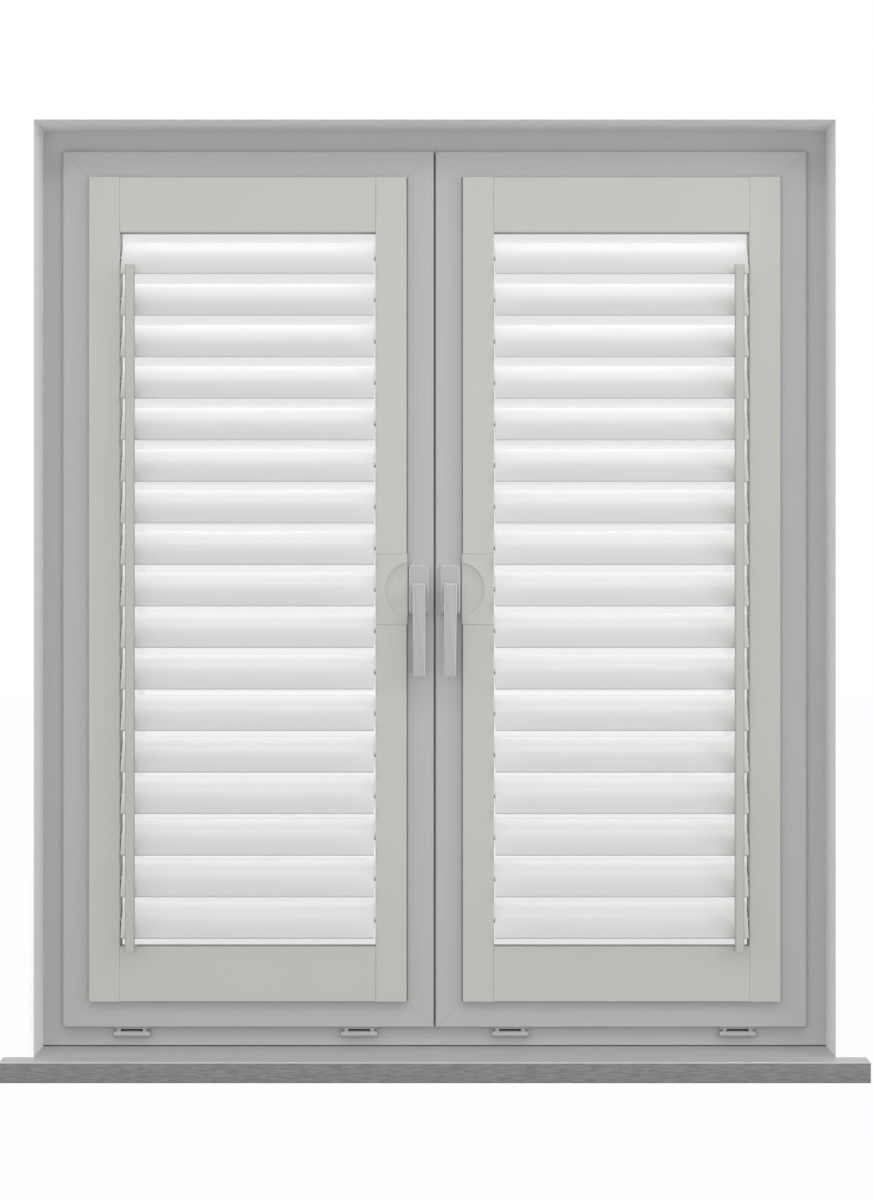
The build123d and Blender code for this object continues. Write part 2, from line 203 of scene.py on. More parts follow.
@dataclass(frozen=True)
class Finish:
    """A solid surface: two close colours mixed by its grain, which also moves gloss and relief."""

    name: str
    pale: str
    deep: str
    grain: Grain
    roughness: float
    roughness_spread: float = 0.06
    relief: float = 0.02
    ior: float = 1.5
    metallic: float = 0.0
    clouds: float = 0.0
    # A painted highlight: this colour is mixed in where the surface turns away from view, from the
    # first share to the full one.
    highlight_colour: str = ""
    highlight_start: float = 0.02
    highlight_full: float = 0.28

    def build(self, run: Run = Run.NONE) -> Material:
        """Makes the material, once for each way that it runs.

        Args:
            run: the way its drawn or brushed lines follow.

        Returns:
            The material.
        """
        name = self.name if run is Run.NONE else f"{self.name}, {run.name.lower()}"
        known = bpy.data.materials.get(name)
        if known:
            return known
        material = bpy.data.materials.new(name)
        tree = new_tree(material)
        fine = self.grain.along(run).sample(tree)
        gloss = add_node(
            tree,
            "ShaderNodeMapRange",
            {
                "Value": fine,
                "From Min": NOISE_LOW,
                "From Max": NOISE_HIGH,
                "To Min": self.roughness - self.roughness_spread,
                "To Max": self.roughness + self.roughness_spread,
            },
        )
        bump = add_node(
            tree, "ShaderNodeBump", {"Height": fine, "Distance": self.relief * MM, "Strength": 1.0}
        )
        surface = add_node(
            tree,
            "ShaderNodeBsdfPrincipled",
            {
                "Base Color": self._colour(tree, fine),
                "Roughness": gloss.outputs[0],
                "Normal": bump.outputs[0],
                "Metallic": self.metallic,
                "IOR": self.ior,
            },
        )
        add_node(tree, "ShaderNodeOutputMaterial", {"Surface": surface.outputs[0]})
        return material

    def _colour(self, tree: Tree, fine: Socket) -> Socket:
        """Mixes the two colours by the grain, and by broad clouds where the finish has them.

        Args:
            tree: the material's nodes.
            fine: the grain's output.

        Returns:
            The colour's output.
        """
        tint = fine
        if self.clouds:
            broad = Grain((self.clouds,) * 3, 1.0).sample(tree)
            clouded = add_node(
                tree,
                "ShaderNodeMath",
                {0: fine, 1: broad, 2: CLOUD_LIFT},
                operation="MULTIPLY_ADD",
            )
            tint = clouded.outputs[0]
        colours = add_node(tree, "ShaderNodeValToRGB", {"Fac": tint})
        start, end = colours.color_ramp.elements
        start.position, end.position = NOISE_LOW, NOISE_HIGH
        start.color, end.color = linear(self.deep), linear(self.pale)
        # Adds the painted highlight on edges, where the finish has one.
        return self._paint_highlight(tree, colours.outputs[0]) if self.highlight_colour else colours.outputs[0]

    def _paint_highlight(self, tree: Tree, colour: Socket) -> Socket:
        """Paints a highlight on the coat where the surface turns away from view, over rounded
        edges.

        Args:
            tree: the material's nodes.
            colour: the coat's own colour.

        Returns:
            The lightened colour's output.
        """
        facing = add_node(tree, "ShaderNodeLayerWeight")
        share = add_node(
            tree,
            "ShaderNodeMapRange",
            {
                "Value": facing.outputs["Facing"],
                "From Min": self.highlight_start,
                "From Max": self.highlight_full,
            },
        )
        mixed = add_node(
            tree,
            "ShaderNodeMix",
            {"Factor": share.outputs[0], "A": colour, "B": linear(self.highlight_colour)},
            data_type="RGBA",
        )
        return mixed.outputs["Result"]


@dataclass(frozen=True)
class SheetGlass:
    """Float glass: clear straight through, with a mirror sheen that grows at a slant."""

    name: str = "float glass"
    tint: str = "FCFCFC"
    sheen_roughness: float = 0.02
    head_on_sheen: float = 0.04
    slant_power: float = 5.0

    def build(self) -> Material:
        """Makes the glass once, without refraction, so that daylight passes without noise.

        Returns:
            The material.
        """
        known = bpy.data.materials.get(self.name)
        if known:
            return known
        material = bpy.data.materials.new(self.name)
        tree = new_tree(material)
        clear = add_node(tree, "ShaderNodeBsdfTransparent", {"Color": linear(self.tint)})
        sheen = add_node(tree, "ShaderNodeBsdfGlossy", {"Roughness": self.sheen_roughness})
        facing = add_node(tree, "ShaderNodeLayerWeight")
        slant = add_node(
            tree,
            "ShaderNodeMath",
            {0: facing.outputs["Facing"], 1: self.slant_power},
            operation="POWER",
        )
        share = add_node(
            tree,
            "ShaderNodeMath",
            {0: slant.outputs[0], 1: 1 - self.head_on_sheen, 2: self.head_on_sheen},
            operation="MULTIPLY_ADD",
        )
        mixed = add_node(
            tree,
            "ShaderNodeMixShader",
            {0: share.outputs[0], 1: clear.outputs[0], 2: sheen.outputs[0]},
        )
        add_node(tree, "ShaderNodeOutputMaterial", {"Surface": mixed.outputs[0]})
        return material


# Extruded uPVC, satin: faint die lines along each member and a soft sheen that blurs lamps.
SASH_UPVC = Finish("extruded uPVC of the sashes", "AAAAAC", "A6A6A8", Grain((1.6, 1.6, 1.6)), 0.42)
# The fixed frame's uPVC: the sashes' grey with painted light, a hint paler to offset the shade
# deeper in the reveal, so that it looks as grey as the sashes.
FRAME_UPVC = Finish("extruded uPVC of the frame", "AFAFB0", "ABABAC", Grain((1.6, 1.6, 1.6)), 0.45)
# Sprayed satin paint on hardwood: warm pale grey, with the grain just showing along each piece.
PANEL_PAINT = Finish(
    "satin paint on hardwood",
    "B5B4B0",
    "B1B0AC",
    Grain((0.9, 0.9, 0.9)),
    0.48,
    relief=0.015,
    clouds=160,
)
# The same paint on the tilt rods' close-grained wood, written a shade deeper than on the panels.
ROD_PAINT = Finish(
    "satin paint on the rods", "AEADA9", "AAA9A5", Grain((0.9, 0.9, 0.9)), 0.48, relief=0.015
)
# Sprayed satin paint on the louvres: smooth, so that daylight whitens each blade's upper edge and
# fades softly to a grey nose.
LOUVRE_PAINT = Finish(
    "satin paint on louvres", "C6C6C5", "C3C3C2", Grain((1.2, 1.2, 1.2)), 0.5, relief=0.012
)
# Moulded ABS inserts: even, a little glossier than the paint beside them.
FINGER_ABS = Finish("moulded ABS", "B4B3AF", "B0AFAB", Grain((2.4, 2.4, 2.4)), 0.4, relief=0.01)
# Powder coat on die-cast zinc: a fine even orange peel, with a painted highlight that lightens its
# rounded edges where they turn away from view.
HANDLE_COAT = Finish(
    "powder coat on zinc",
    "A7A7A9",
    "A4A4A6",
    Grain((0.7, 0.7, 0.7)),
    0.4,
    relief=0.012,
    # Painted highlight colour on the handles' rounded edges.
    highlight_colour="D0D0D4",
)
# Powder coat on the hinges' steel: the handles' grey without their painted edge highlight, a little
# coarser.
HINGE_COAT = Finish(
    "powder coat on steel", "A8A8A9", "A4A4A5", Grain((0.8, 0.8, 0.8)), 0.4, relief=0.02
)
# Emulsion on trowelled plaster board: matt, with a fine roller stipple.
LINING_PLASTER = Finish(
    "emulsion on plaster board", "F7F7F7", "F0F0F0", Grain((2.2, 2.2, 2.2), 4.0), 0.8, relief=0.12
)
# Laminate on the window board: pale grey, with long fine grain that shows as faint streaks.
BOARD_TOP = Finish(
    "wood-grain laminate of the board",
    "C2C2C2",
    "B2B2B2",
    Grain((1.8, 1.8, 1.8), 5.0),
    0.5,
    relief=0.06,
)
# The nosing strip: darker and matter, with short wavy streaks of deeply brushed grain.
BOARD_NOSING = Finish(
    "brushed wood grain of the nosing",
    "8A8A8C",
    "68686A",
    Grain((20, 1.8, 1.8), 9.0, 0.5),
    0.6,
    relief=0.2,
)
# The laminate's folded front edge, painted pale as a highlight, which shows as a bright line along
# the board.
EDGE_HIGHLIGHT_BAND = Finish("rubbed laminate edge", "C4C4C4", "BCBCBC", Grain((1.8, 1.8, 1.8)), 0.45)
# The reveal's moulded corner bead: an even bright white line round the lining's front edge.
EDGE_BEAD = Finish("moulded PVC bead", "F4F4F4", "F0F0F0", Grain((1.5, 1.5, 1.5)), 0.45)
# EPDM rubber seals: near black and matt. The strip at the frame's foot and the pads behind the
# hinges' slots are also painted shade, where shadow falls.
SEAL_RUBBER = Finish("EPDM rubber", "3A3A3B", "303031", Grain((1.0, 1.0, 1.0)), 0.75)
# Mill aluminium spacer bars: a dull metal glint between the panes.
SPACER_METAL = Finish(
    "mill aluminium", "B8B9BB", "A9AAAC", Grain((0.6, 0.6, 0.6)), 0.35, metallic=1.0
)
# Trimmed weld at each mitre of the uPVC: a shade duller than the film round it, so it shows.
WELD_UPVC = Finish(
    "trimmed uPVC weld", "A4A4A6", "A0A0A2", Grain((0.8, 0.8, 0.8)), 0.6, relief=0.04
)
# The panes: clear from in front, with reflections that strengthen towards the side.
FLOAT_GLASS = SheetGlass()


# Modelling by hand


def clear_selection() -> None:
    """Leaves edit mode and deselects every object."""
    if bpy.context.object and bpy.context.object.mode != "OBJECT":
        bpy.ops.object.mode_set(mode="OBJECT")
    bpy.ops.object.select_all(action="DESELECT")


def everything(middle: Vector, way: Vector) -> bool:
    """Passes every face, edge or point."""
    return True


@dataclass
class Workpiece:
    """A mesh on the bench, shaped with Blender's operators in place in the frame."""

    obj: bpy.types.Object

    @classmethod
    def block(cls, name: str, low: Vector, high: Vector) -> "Workpiece":
        """Starts from a block.

        Args:
            name: what the piece is called.
            low: its lowest corner, in metres.
            high: its highest corner, in metres.

        Returns:
            The block.
        """
        clear_selection()
        bpy.ops.mesh.primitive_cube_add(size=1, location=(low + high) / 2, scale=high - low)
        return cls._started(name)

    @classmethod
    def bar(cls, name: str, start: Vector, end: Vector, radius: float, sides: int) -> "Workpiece":
        """Starts from a round bar.

        Args:
            name: what the piece is called.
            start: the middle of one end, in metres.
            end: the middle of the other end, in metres.
            radius: the bar's radius, in metres.
            sides: how many flats stand for its round.

        Returns:
            The bar.
        """
        clear_selection()
        run = end - start
        bpy.ops.mesh.primitive_cylinder_add(
            vertices=sides,
            radius=radius,
            depth=run.length,
            location=(start + end) / 2,
            rotation=run.to_track_quat("Z", "Y").to_euler(),
        )
        return cls._started(name)

    @classmethod
    def ball(cls, name: str, middle: Vector, radii: tuple[float, float, float]) -> "Workpiece":
        """Starts from a ball with three radii.

        Args:
            name: what the piece is called.
            middle: its middle, in metres.
            radii: half its width, height and depth, in millimetres.

        Returns:
            The ball.
        """
        clear_selection()
        bpy.ops.mesh.primitive_uv_sphere_add(
            segments=BALL_SIDES,
            ring_count=BALL_SIDES // 2,
            radius=MM,
            location=middle,
            rotation=(math.pi / 2, 0, 0),
            scale=radii,
        )
        return cls._started(name)

    @classmethod
    def ring(cls, name: str, low: Vector, high: Vector, band: float) -> "Workpiece":
        """Starts from a rectangular ring that faces the room.

        Args:
            name: what the piece is called.
            low: its lowest corner, in metres.
            high: its highest corner, in metres.
            band: how wide the ring's four sides are, in metres.

        Returns:
            The ring.
        """
        clear_selection()
        centre = Vector(((low.x + high.x) / 2, low.y, (low.z + high.z) / 2))
        bpy.ops.mesh.primitive_plane_add(size=1, location=centre, rotation=(math.pi / 2, 0, 0))
        bpy.context.object.scale = (high.x - low.x, high.z - low.z, 1)
        piece = cls._started(name)
        with piece.shaping(Element.FACES, everything):
            bpy.ops.mesh.inset(thickness=band, depth=0, use_boundary=True)
            bpy.ops.mesh.delete(type="ONLY_FACE")
            bpy.ops.mesh.select_all(action="SELECT")
            bpy.ops.mesh.extrude_region_move(
                TRANSFORM_OT_translate={"value": (0, high.y - low.y, 0)}
            )
            bpy.ops.mesh.select_all(action="SELECT")
            bpy.ops.mesh.normals_make_consistent(inside=False)
        return piece

    @classmethod
    def _started(cls, name: str) -> "Workpiece":
        """Names the new object and puts its place into its mesh.

        Args:
            name: what the piece is called.

        Returns:
            The piece.
        """
        obj = bpy.context.object
        obj.name = obj.data.name = name
        bpy.ops.object.transform_apply(location=True, rotation=True, scale=True)
        return cls(obj)

    def activate(self) -> None:
        """Makes this the one selected and active object."""
        clear_selection()
        self.obj.select_set(True)
        bpy.context.view_layer.objects.active = self.obj

    @contextmanager
    def shaping(self, kind: Element, test: Test) -> Iterator[None]:
        """Edit mode, with what passes a test selected.

        Args:
            kind: faces, edges or points.
            test: called with the middle of each, and its normal or its direction.
        """
        self.activate()
        mesh = self.obj.data
        bpy.context.tool_settings.mesh_select_mode = tuple(kind is k for k in Element)
        for items in (mesh.vertices, mesh.edges, mesh.polygons):
            items.foreach_set("select", [False] * len(items))
        for item in getattr(mesh, kind.value):
            item.select = test(*self._place(item, kind))
        bpy.ops.object.mode_set(mode="EDIT")
        yield
        bpy.ops.object.mode_set(mode="OBJECT")

    def _place(self, item: bpy.types.bpy_struct, kind: Element) -> tuple[Vector, Vector]:
        """Finds where a face, edge or point is.

        Args:
            item: the face, edge or point.
            kind: which of the three it is.

        Returns:
            Its middle, and its normal or its direction.
        """
        if kind is Element.FACES:
            return item.center.copy(), item.normal.copy()
        if kind is Element.POINTS:
            return item.co.copy(), item.normal.copy()
        start, end = (self.obj.data.vertices[index].co for index in item.vertices)
        return (start + end) / 2, (end - start).normalized()

    def bevel(self, size: float, test: Test, flats: int = 2) -> None:
        """Rounds the edges that pass a test, by a size in metres and with a number of flats."""
        with self.shaping(Element.EDGES, test):
            bpy.ops.mesh.bevel(offset=size, segments=flats, affect="EDGES")

    def combine(self, other: "Workpiece", operation: str) -> None:
        """Joins another piece on, or cuts it out, and clears it away.

        Args:
            other: the piece that is used up.
            operation: "UNION" or "DIFFERENCE".
        """
        self.activate()
        modifier = self.obj.modifiers.new("combine", "BOOLEAN")
        modifier.operation, modifier.object, modifier.solver = operation, other.obj, "EXACT"
        bpy.ops.object.modifier_apply(modifier=modifier.name)
        bpy.data.objects.remove(other.obj)

    def gather(self, *others: "Workpiece") -> None:
        """Takes other pieces into this object, each as a closed part of its own.

        Args:
            others: the pieces that are used up.
        """
        self.activate()
        for other in others:
            other.obj.select_set(True)
        bpy.ops.object.join()

    def copy(self, name: str, shift: Vector, flip: bool = False) -> "Workpiece":
        """Copies the piece with its own mesh.

        Args:
            name: the copy's name.
            shift: how far it moves, in metres.
            flip: mirrors it left to right about the window's middle first.

        Returns:
            The copy.
        """
        self.activate()
        bpy.ops.object.duplicate(linked=False)
        twin = bpy.context.object
        twin.scale.x = -1 if flip else 1
        twin.location = shift
        made = self._started(name)
        if flip:
            with made.shaping(Element.FACES, everything):
                bpy.ops.mesh.normals_make_consistent(inside=False)
        return made

    def deliver(self, body: str, material: Material, slot: str | None = None) -> None:
        """Smooths, dresses and hands over the finished piece.

        Args:
            body: the frame's body it rides on.
            material: its finish.
            slot: not used.
        """
        self.activate()
        bpy.ops.object.shade_smooth_by_angle(angle=SMOOTH_ANGLE)
        self.obj.data.materials.clear()
        self.obj.data.materials.append(material)
        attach(self.obj, body)
        LOG.info("%s: %d faces, on %s", self.obj.name, len(self.obj.data.polygons), body)


def dress(node: str, material: Material) -> None:
    """Gives one of the frame's nodes its finish.

    Args:
        node: the node's name.
        material: its finish.
    """
    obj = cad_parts[node]
    if not obj.material_slots:
        obj.data.materials.append(material)
    for place in obj.material_slots:
        place.material = material
    LOG.info("%s: dressed in %s", node, material.name)


def span(node: str) -> tuple[Vector, Vector]:
    """Finds the lowest and highest corner of one of the frame's nodes, in metres."""
    low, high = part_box(node)
    return Vector(low), Vector(high)


# The window, from the wall inwards


@dataclass
class Surround:
    """The reveal's lining, the window board and the fixed frame."""

    nosing_depth: float = 5.0
    nosing_edge: float = 2.0
    nosing_gap: float = 0.1
    board_nosing: float = 49.0
    board_joint: float = 0.3
    board_overlap: float = 1.0
    horn_edge: float = 0.5
    band_height: float = 1.4
    band_edge: float = 0.6
    foot_seal_height: float = 1.5
    foot_seal_proud: float = 0.6
    bead_thickness: float = 0.8
    bead_overlap: float = 0.5

    def build(self) -> None:
        """Dresses the fixed parts and makes the board, the foot's seal, which also paints the
        shadow along the frame's foot, and the bead.
        """
        for node in ("lining_head", "lining_sides"):
            dress(node, LINING_PLASTER.build())
        self._board()
        self._foot_seal_and_shadow()
        self._bead()
        for node in ("frame_head", "frame_base"):
            dress(node, FRAME_UPVC.build(Run.LEVEL))
        for node in ("frame_jambs", "meeting_post"):
            dress(node, FRAME_UPVC.build(Run.UPRIGHT))

    def _board(self) -> None:
        """Makes the window board: a slab with horns, a nosing along its front, and above it a band
        painted pale as a highlight.
        """
        low, high = span("window_board")
        cheeks_low, cheeks_high = span("lining_sides")
        front = low.y + self.nosing_depth * MM
        step = low.y + self.board_nosing * MM
        slab = Workpiece.block(
            "board_slab", Vector((low.x, front, low.z)), Vector((high.x, step, high.z))
        )
        tail = Workpiece.block(
            "tail",
            Vector((cheeks_low.x, step - self.board_overlap * MM, low.z)),
            Vector((cheeks_high.x, high.y, high.z)),
        )
        slab.combine(tail, "UNION")
        slab.bevel(
            self.horn_edge * MM,
            lambda middle, way: abs(middle.x) > high.x - NEAR and middle.z > high.z - NEAR,
        )
        slab.deliver(UNIT_BODY, BOARD_TOP.build(Run.LEVEL), "window_board")
        back = front - self.board_joint * MM
        band_foot = high.z - self.band_height * MM
        strip = Workpiece.block(
            "board_nosing", low, Vector((high.x, back, band_foot - self.nosing_gap * MM))
        )
        strip.bevel(
            self.nosing_edge * MM,
            lambda middle, way: abs(way.x) > ALONG
            and middle.y < low.y + NEAR
            and middle.z < low.z + NEAR,
            flats=6,
        )
        strip.deliver(UNIT_BODY, BOARD_NOSING.build(), "window_board")
        # A thin band at the top of the front, painted pale as the highlight along the board's edge.
        band = Workpiece.block(
            "board_highlight_band", Vector((low.x, low.y, band_foot)), Vector((high.x, back, high.z))
        )
        band.bevel(
            self.band_edge * MM,
            lambda middle, way: abs(way.x) > ALONG and middle.z > high.z - NEAR,
            flats=4,
        )
        band.deliver(UNIT_BODY, EDGE_HIGHLIGHT_BAND.build(Run.LEVEL), "window_board")
        for piece in (slab, strip, band):
            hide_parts("window_board")

    def _foot_seal_and_shadow(self) -> None:
        """Makes the dark strip that closes the joint between the frame's foot and the board, and
        whose near black also paints the shadow line there.
        """
        low = span("frame_base")[0]
        board_top = span("window_board")[1].z
        reach = self._cheek_face()
        # Partly a real seal, partly painted shade: a dark line where shadow falls along the frame's
        # foot.
        strip = Workpiece.block(
            "frame_foot_seal_and_shadow",
            Vector((-reach, low.y - self.foot_seal_proud * MM, board_top)),
            Vector((reach, low.y, board_top + self.foot_seal_height * MM)),
        )
        strip.bevel(
            self.foot_seal_proud / 2 * MM,
            lambda middle, way: abs(way.x) > ALONG and middle.y < low.y - NEAR,
            flats=3,
        )
        strip.deliver(UNIT_BODY, SEAL_RUBBER.build())

    def _bead(self) -> None:
        """Makes the thin white bead over the front edges of the lining's three boards."""
        head_low, head_high = span("lining_head")
        cheek_low, cheek_high = span("lining_sides")
        front = head_low.y - self.bead_thickness * MM
        face = self._cheek_face()
        bead = Workpiece.block(
            "reveal_edge_bead",
            Vector((head_low.x, front, head_low.z)),
            Vector((head_high.x, head_low.y, head_high.z)),
        )
        for side in Side:
            low_x, high_x = sorted((side.value * cheek_high.x, side.value * face))
            cheek = Workpiece.block(
                "cheek",
                Vector((low_x, front, cheek_low.z)),
                Vector((high_x, head_low.y, head_low.z + self.bead_overlap * MM)),
            )
            bead.combine(cheek, "UNION")
        bead.deliver(UNIT_BODY, EDGE_BEAD.build(), "lining")

    def _cheek_face(self) -> float:
        """Finds how far across the right cheek's face lies, which the reveal's opening meets."""
        corners_x = (corner.co.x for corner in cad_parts["lining_sides"].data.vertices)
        return min(x for x in corners_x if x > 0)


@dataclass
class Glazing:
    """One sash's sealed unit: two panes with a spacer bar between them."""

    side: Side
    pane: float = 4.0
    spacer_width: float = 7.0
    spacer_inset: float = 5.0
    edge: float = 0.6

    def build(self) -> None:
        """Makes the panes and the spacer in the space of the frame's glass."""
        word, across = self.side.word, self.side.value
        low, high = span("glass_units")
        low_x, high_x = sorted((across * abs(self._inner_edge()), across * high.x))
        low, high = Vector((low_x, low.y, low.z)), Vector((high_x, high.y, high.z))
        pane = Vector((0, self.pane * MM, 0))
        inset = Vector((self.spacer_inset * MM, 0, self.spacer_inset * MM))
        room = Workpiece.block(f"{word}_room_pane", low, Vector((high.x, (low + pane).y, high.z)))
        outer = Workpiece.block(f"{word}_outer_pane", Vector((low.x, (high - pane).y, low.z)), high)
        for piece in (room, outer):
            piece.bevel(self.edge * MM, everything, flats=1)
            piece.deliver(UNIT_BODY, FLOAT_GLASS.build(), "glass")
            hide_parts("glass_units")
        spacer = Workpiece.ring(
            f"{word}_spacer_bar", low + pane + inset, high - pane - inset, self.spacer_width * MM
        )
        spacer.bevel(self.edge * MM, everything)
        spacer.deliver(UNIT_BODY, SPACER_METAL.build())

    def _inner_edge(self) -> float:
        """Finds where the right unit's edge lies, nearest the meeting line."""
        sash_low, sash_high = span("right_sash_rails")
        return sash_low.x + sash_high.x - span("glass_units")[1].x


@dataclass
class Sash:
    """One sash of mitred uPVC."""

    side: Side

    def build(self) -> None:
        """Dresses the sash."""
        dress(f"{self.side.word}_sash_stiles", SASH_UPVC.build(Run.UPRIGHT))
        dress(f"{self.side.word}_sash_rails", SASH_UPVC.build(Run.LEVEL))


@dataclass
class CornerWelds:
    """The welded seams at the sashes' corners."""

    corner_inset: float = 2.5
    panel_margin: float = 36.5
    weld_radius: float = 0.9
    weld_proud: float = 0.12
    weld_end: float = 0.3
    weld_sides: int = 24

    def build(self) -> None:
        """Makes the left sash's welds and copies them, mirrored, to the right one."""
        left = self._welds("left_sash_welds")
        right = left.copy("right_sash_welds", Vector(), flip=True)
        for piece in (left, right):
            piece.deliver(UNIT_BODY, WELD_UPVC.build())

    def _welds(self, name: str) -> Workpiece:
        """Makes a fine raised seam across each corner of the left sash's front face.

        Args:
            name: what the seams are called.

        Returns:
            The seams, in one piece.
        """
        low, high = span("left_sash_stiles")
        centre = (low + high) / 2
        inset, run = self.corner_inset * MM, (self.panel_margin - self.corner_inset) * MM
        seams = []
        for across, up in ((-1, -1), (1, -1), (-1, 1), (1, 1)):
            corner = Vector(
                (
                    centre.x + across * ((high.x - low.x) / 2 - inset),
                    low.y + (self.weld_radius - self.weld_proud) * MM,
                    centre.z + up * ((high.z - low.z) / 2 - inset),
                )
            )
            inward = Vector((-across, 0, -up))
            seam = Workpiece.bar(
                name, corner, corner + inward * run, self.weld_radius * MM, self.weld_sides
            )
            seam.bevel(self.weld_end * MM, lambda middle, way: abs(way.dot(inward)) < ACROSS)
            seams.append(seam)
        seams[0].gather(*seams[1:])
        return seams[0]


@dataclass
class ShutterPanel:
    """One louvred panel with its tilt rod."""

    side: Side
    louvres: int = 17

    def build(self) -> None:
        """Dresses the panel."""
        word = self.side.word
        for place in ("outer", "inner"):
            dress(f"{word}_shutter_{place}_stile", PANEL_PAINT.build(Run.UPRIGHT))
        dress(f"{word}_shutter_rails", PANEL_PAINT.build(Run.LEVEL))
        for row in range(1, self.louvres + 1):
            dress(f"{word}_louvre_{row:02d}", LOUVRE_PAINT.build(Run.LEVEL))
        dress(f"{word}_tilt_rod", ROD_PAINT.build(Run.UPRIGHT))


@dataclass
class TurnHandle:
    """One sash's backplate and the grip that hangs from it."""

    side: Side
    plate_width: float = 27.5
    plate_corner: float = 4.0
    plate_edge: float = 1.6
    collar_radius: float = 8.6
    collar_height: float = 1.2
    collar_seat: float = 2.0
    spindle_radius: float = 7.0
    spindle_gap: float = 0.3
    spindle_above_foot: float = 119.0
    hole_overrun: float = 5.0
    grip_thickness: float = 13.0
    grip_corner: float = 1.6
    grip_edge: float = 1.9
    grip_slant: float = 1.7
    neck_overlap: float = 1.0
    neck_sides: int = 48
    plate_sides: int = 64

    def build(self) -> None:
        """Makes the grip and the plate in the places of the frame's plain ones."""
        grip_low, grip_high = span(f"{self.side.word}_handle")
        self._grip(grip_low, grip_high)
        self._plate(grip_low)

    def _spindle(self, grip_low: Vector) -> tuple[float, float]:
        """Finds how far across and how high the spindle is, from the grip's lowest corner."""
        inner = span("handle_rosettes")[1].x - self.plate_width / 2 * MM
        return self.side.value * inner, grip_low.z + self.spindle_above_foot * MM

    def _grip(self, low: Vector, high: Vector) -> None:
        """Makes the tapered grip with rounded edges, and its round neck.

        Args:
            low: the grip's lowest corner.
            high: its highest corner.
        """
        x, z = self._spindle(low)
        back = low.y + self.grip_thickness * MM
        piece = Workpiece.block(
            f"{self.side.word}_handle_grip", low, Vector((high.x, back, high.z))
        )
        outward = self.side.value

        def outer_foot(middle: Vector, way: Vector) -> bool:
            """Passes the corners at the grip's foot, on its outer side."""
            return middle.z < z and (middle.x - x) * outward > 0

        with piece.shaping(Element.POINTS, outer_foot):
            bpy.ops.transform.translate(value=(-outward * self.grip_slant * MM, 0, 0))
        piece.bevel(self.grip_corner * MM, lambda middle, way: abs(way.y) > ALONG, flats=4)
        piece.bevel(
            self.grip_edge * MM,
            lambda middle, way: middle.y < low.y + NEAR and abs(way.y) < ACROSS,
            flats=4,
        )
        piece.bevel(
            self.grip_edge / 2 * MM,
            lambda middle, way: middle.y > back - NEAR and abs(way.y) < ACROSS,
            flats=3,
        )
        neck = Workpiece.bar(
            "neck",
            Vector((x, back - self.neck_overlap * MM, z)),
            Vector((x, high.y, z)),
            self.spindle_radius * MM,
            self.neck_sides,
        )
        piece.combine(neck, "UNION")
        piece.deliver(f"{self.side.word}_handle_body", HANDLE_COAT.build(), "handle_metal")
        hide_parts(f"{self.side.word}_handle")

    def _plate(self, grip_low: Vector) -> None:
        """Makes the backplate with rounded edges, a raised collar and the spindle's hole.

        Args:
            grip_low: the grip's lowest corner.
        """
        x, z = self._spindle(grip_low)
        low, high = span("handle_rosettes")
        half = self.plate_width / 2 * MM
        front = low.y + self.collar_height * MM
        piece = Workpiece.block(
            f"{self.side.word}_handle_plate",
            Vector((x - half, front, low.z)),
            Vector((x + half, high.y, high.z)),
        )
        piece.bevel(self.plate_corner * MM, lambda middle, way: abs(way.y) > ALONG, flats=8)
        piece.bevel(
            self.plate_edge * MM,
            lambda middle, way: middle.y < front + NEAR and abs(way.y) < ACROSS,
            flats=4,
        )
        collar = Workpiece.bar(
            "collar",
            Vector((x, low.y, z)),
            Vector((x, front + self.collar_seat * MM, z)),
            self.collar_radius * MM,
            self.plate_sides,
        )
        piece.combine(collar, "UNION")
        hole = Workpiece.bar(
            "hole",
            Vector((x, front - self.hole_overrun * MM, z)),
            Vector((x, high.y + self.hole_overrun * MM, z)),
            (self.spindle_radius + self.spindle_gap) * MM,
            self.plate_sides,
        )
        piece.combine(hole, "DIFFERENCE")
        piece.deliver(UNIT_BODY, HANDLE_COAT.build(), "handle_metal")
        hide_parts("handle_rosettes")


@dataclass
class FingerInsert:
    """The dished insert that leaves room for fingers beside a handle."""

    side: Side
    scoop_radius: float = 38.6
    scoop_depth: float = 7.0
    scoop_offset: float = 8.0
    scoop_reach: float = 40.6
    lip: float = 1.0
    edge: float = 0.5
    joint: float = 0.3

    def build(self) -> None:
        """Cuts a shallow round dish out of a block."""
        low, high = span("finger_blocks")
        stile_low, stile_high = span(f"{self.side.word}_shutter_inner_stile")
        near, far = sorted((stile_low.x, stile_high.x), key=abs)
        outward = self.side.value
        low_x, high_x = sorted((near - outward * self.lip * MM, far))
        block = Workpiece.block(
            f"{self.side.word}_finger_insert",
            Vector((low_x, low.y, low.z + self.joint * MM)),
            Vector((high_x, high.y, high.z - self.joint * MM)),
        )
        block.bevel(
            self.edge * MM, lambda middle, way: middle.y < low.y + NEAR and abs(way.z) > ALONG
        )
        # The dish is the end of a stretched ball, which meets the face in a scoop_radius circle.
        narrowing = 1 - math.sqrt(1 - (self.scoop_radius / self.scoop_reach) ** 2)
        depth = self.scoop_depth / narrowing
        centre = Vector(
            (
                near - outward * self.scoop_offset * MM,
                low.y - (depth - self.scoop_depth) * MM,
                (low.z + high.z) / 2,
            )
        )
        dish = Workpiece.ball("dish", centre, (self.scoop_reach, self.scoop_reach, depth))
        block.combine(dish, "DIFFERENCE")
        block.deliver(UNIT_BODY, FINGER_ABS.build(), "finger_block")
        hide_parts("finger_blocks")


